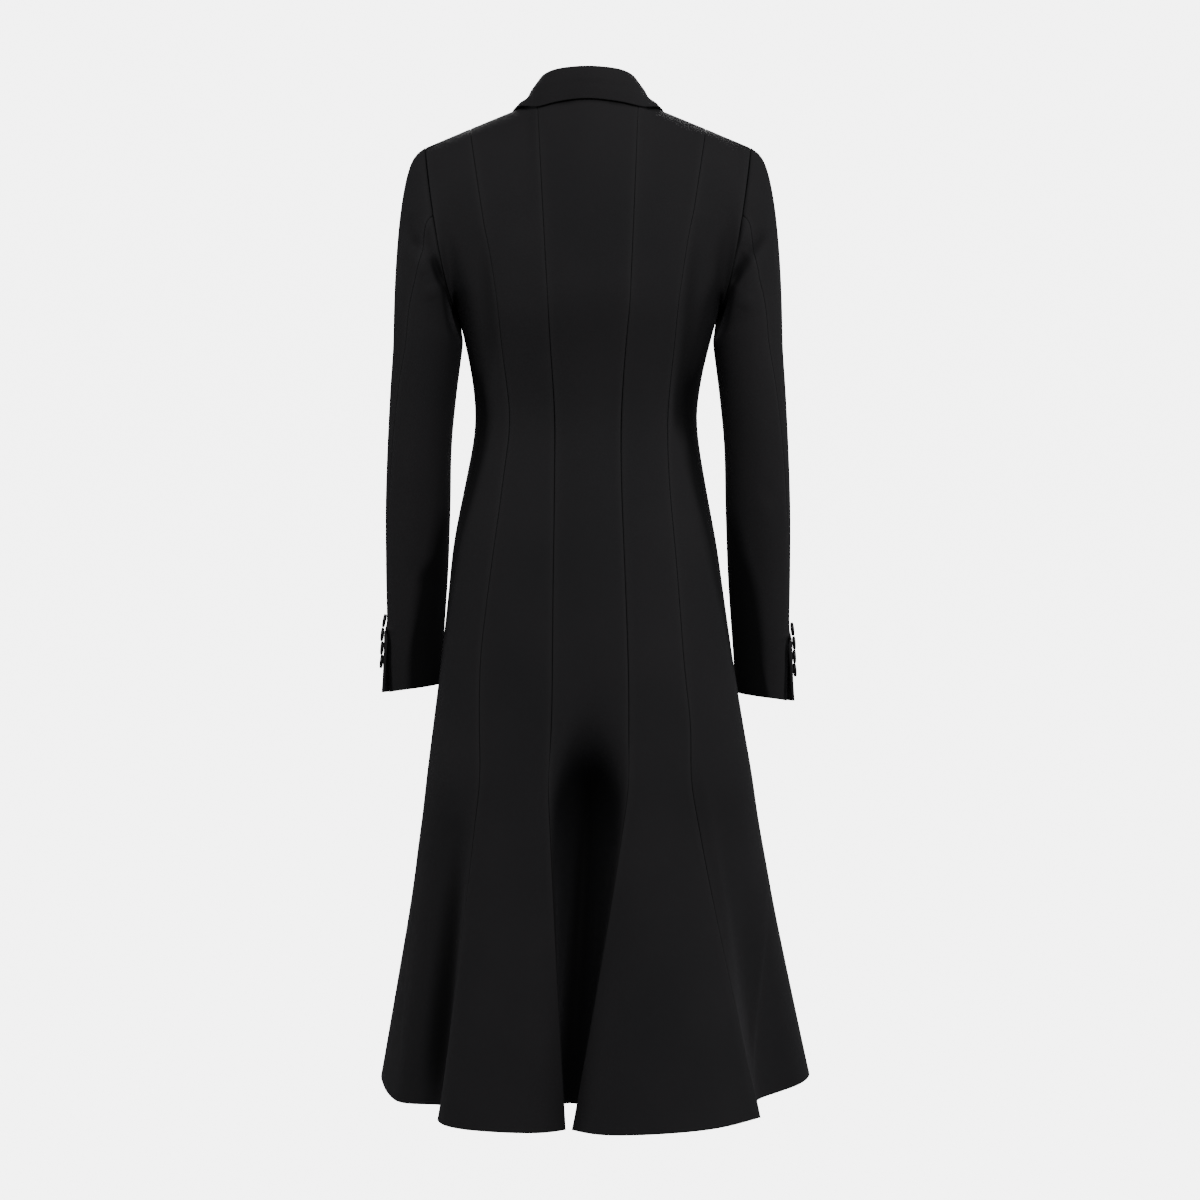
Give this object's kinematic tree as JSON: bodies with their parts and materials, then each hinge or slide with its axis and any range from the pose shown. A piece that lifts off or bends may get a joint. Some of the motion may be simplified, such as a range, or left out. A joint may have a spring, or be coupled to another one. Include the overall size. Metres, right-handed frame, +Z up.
{
  "type": "coat",
  "caption": "Fitted dark wool coat, hollow as worn: notched collar, shaped panels flaring below the waist, two-piece sleeves with buttoned cuff vents, deep inverted fold at the back hem",
  "frame": {"origin": "between the shoulders, level with the base of the neck, where a wearer or a hanger holds the coat", "axes": "+Z up; the back faces -Y and the front faces +Y; the wearer's left is at -X"},
  "size_m": [0.5255, 0.4163, 1.2076],
  "materials": {
    "wool": "matte, finely woven wool",
    "button": "low sheen, moulded"
  },
  "bodies": {
    "root": {"back_centre": "wool", "back_inner_left": "wool", "back_outer_left": "wool", "front_side_left": "wool", "front_left": "wool", "lapel_left": "wool", "sleeve_top_left": "wool", "sleeve_under_left": "wool", "back_inner_right": "wool", "back_outer_right": "wool", "front_side_right": "wool", "front_right": "wool", "lapel_right": "wool", "sleeve_top_right": "wool", "sleeve_under_right": "wool", "collar_stand": "wool", "collar_fall": "wool", "cuff_button_left_1": "button", "cuff_button_left_2": "button", "cuff_button_left_3": "button", "cuff_button_left_4": "button", "cuff_button_right_1": "button", "cuff_button_right_2": "button", "cuff_button_right_3": "button", "cuff_button_right_4": "button", "front_button_1": "button", "front_button_2": "button", "front_button_3": "button"}
  },
  "joints": []
}
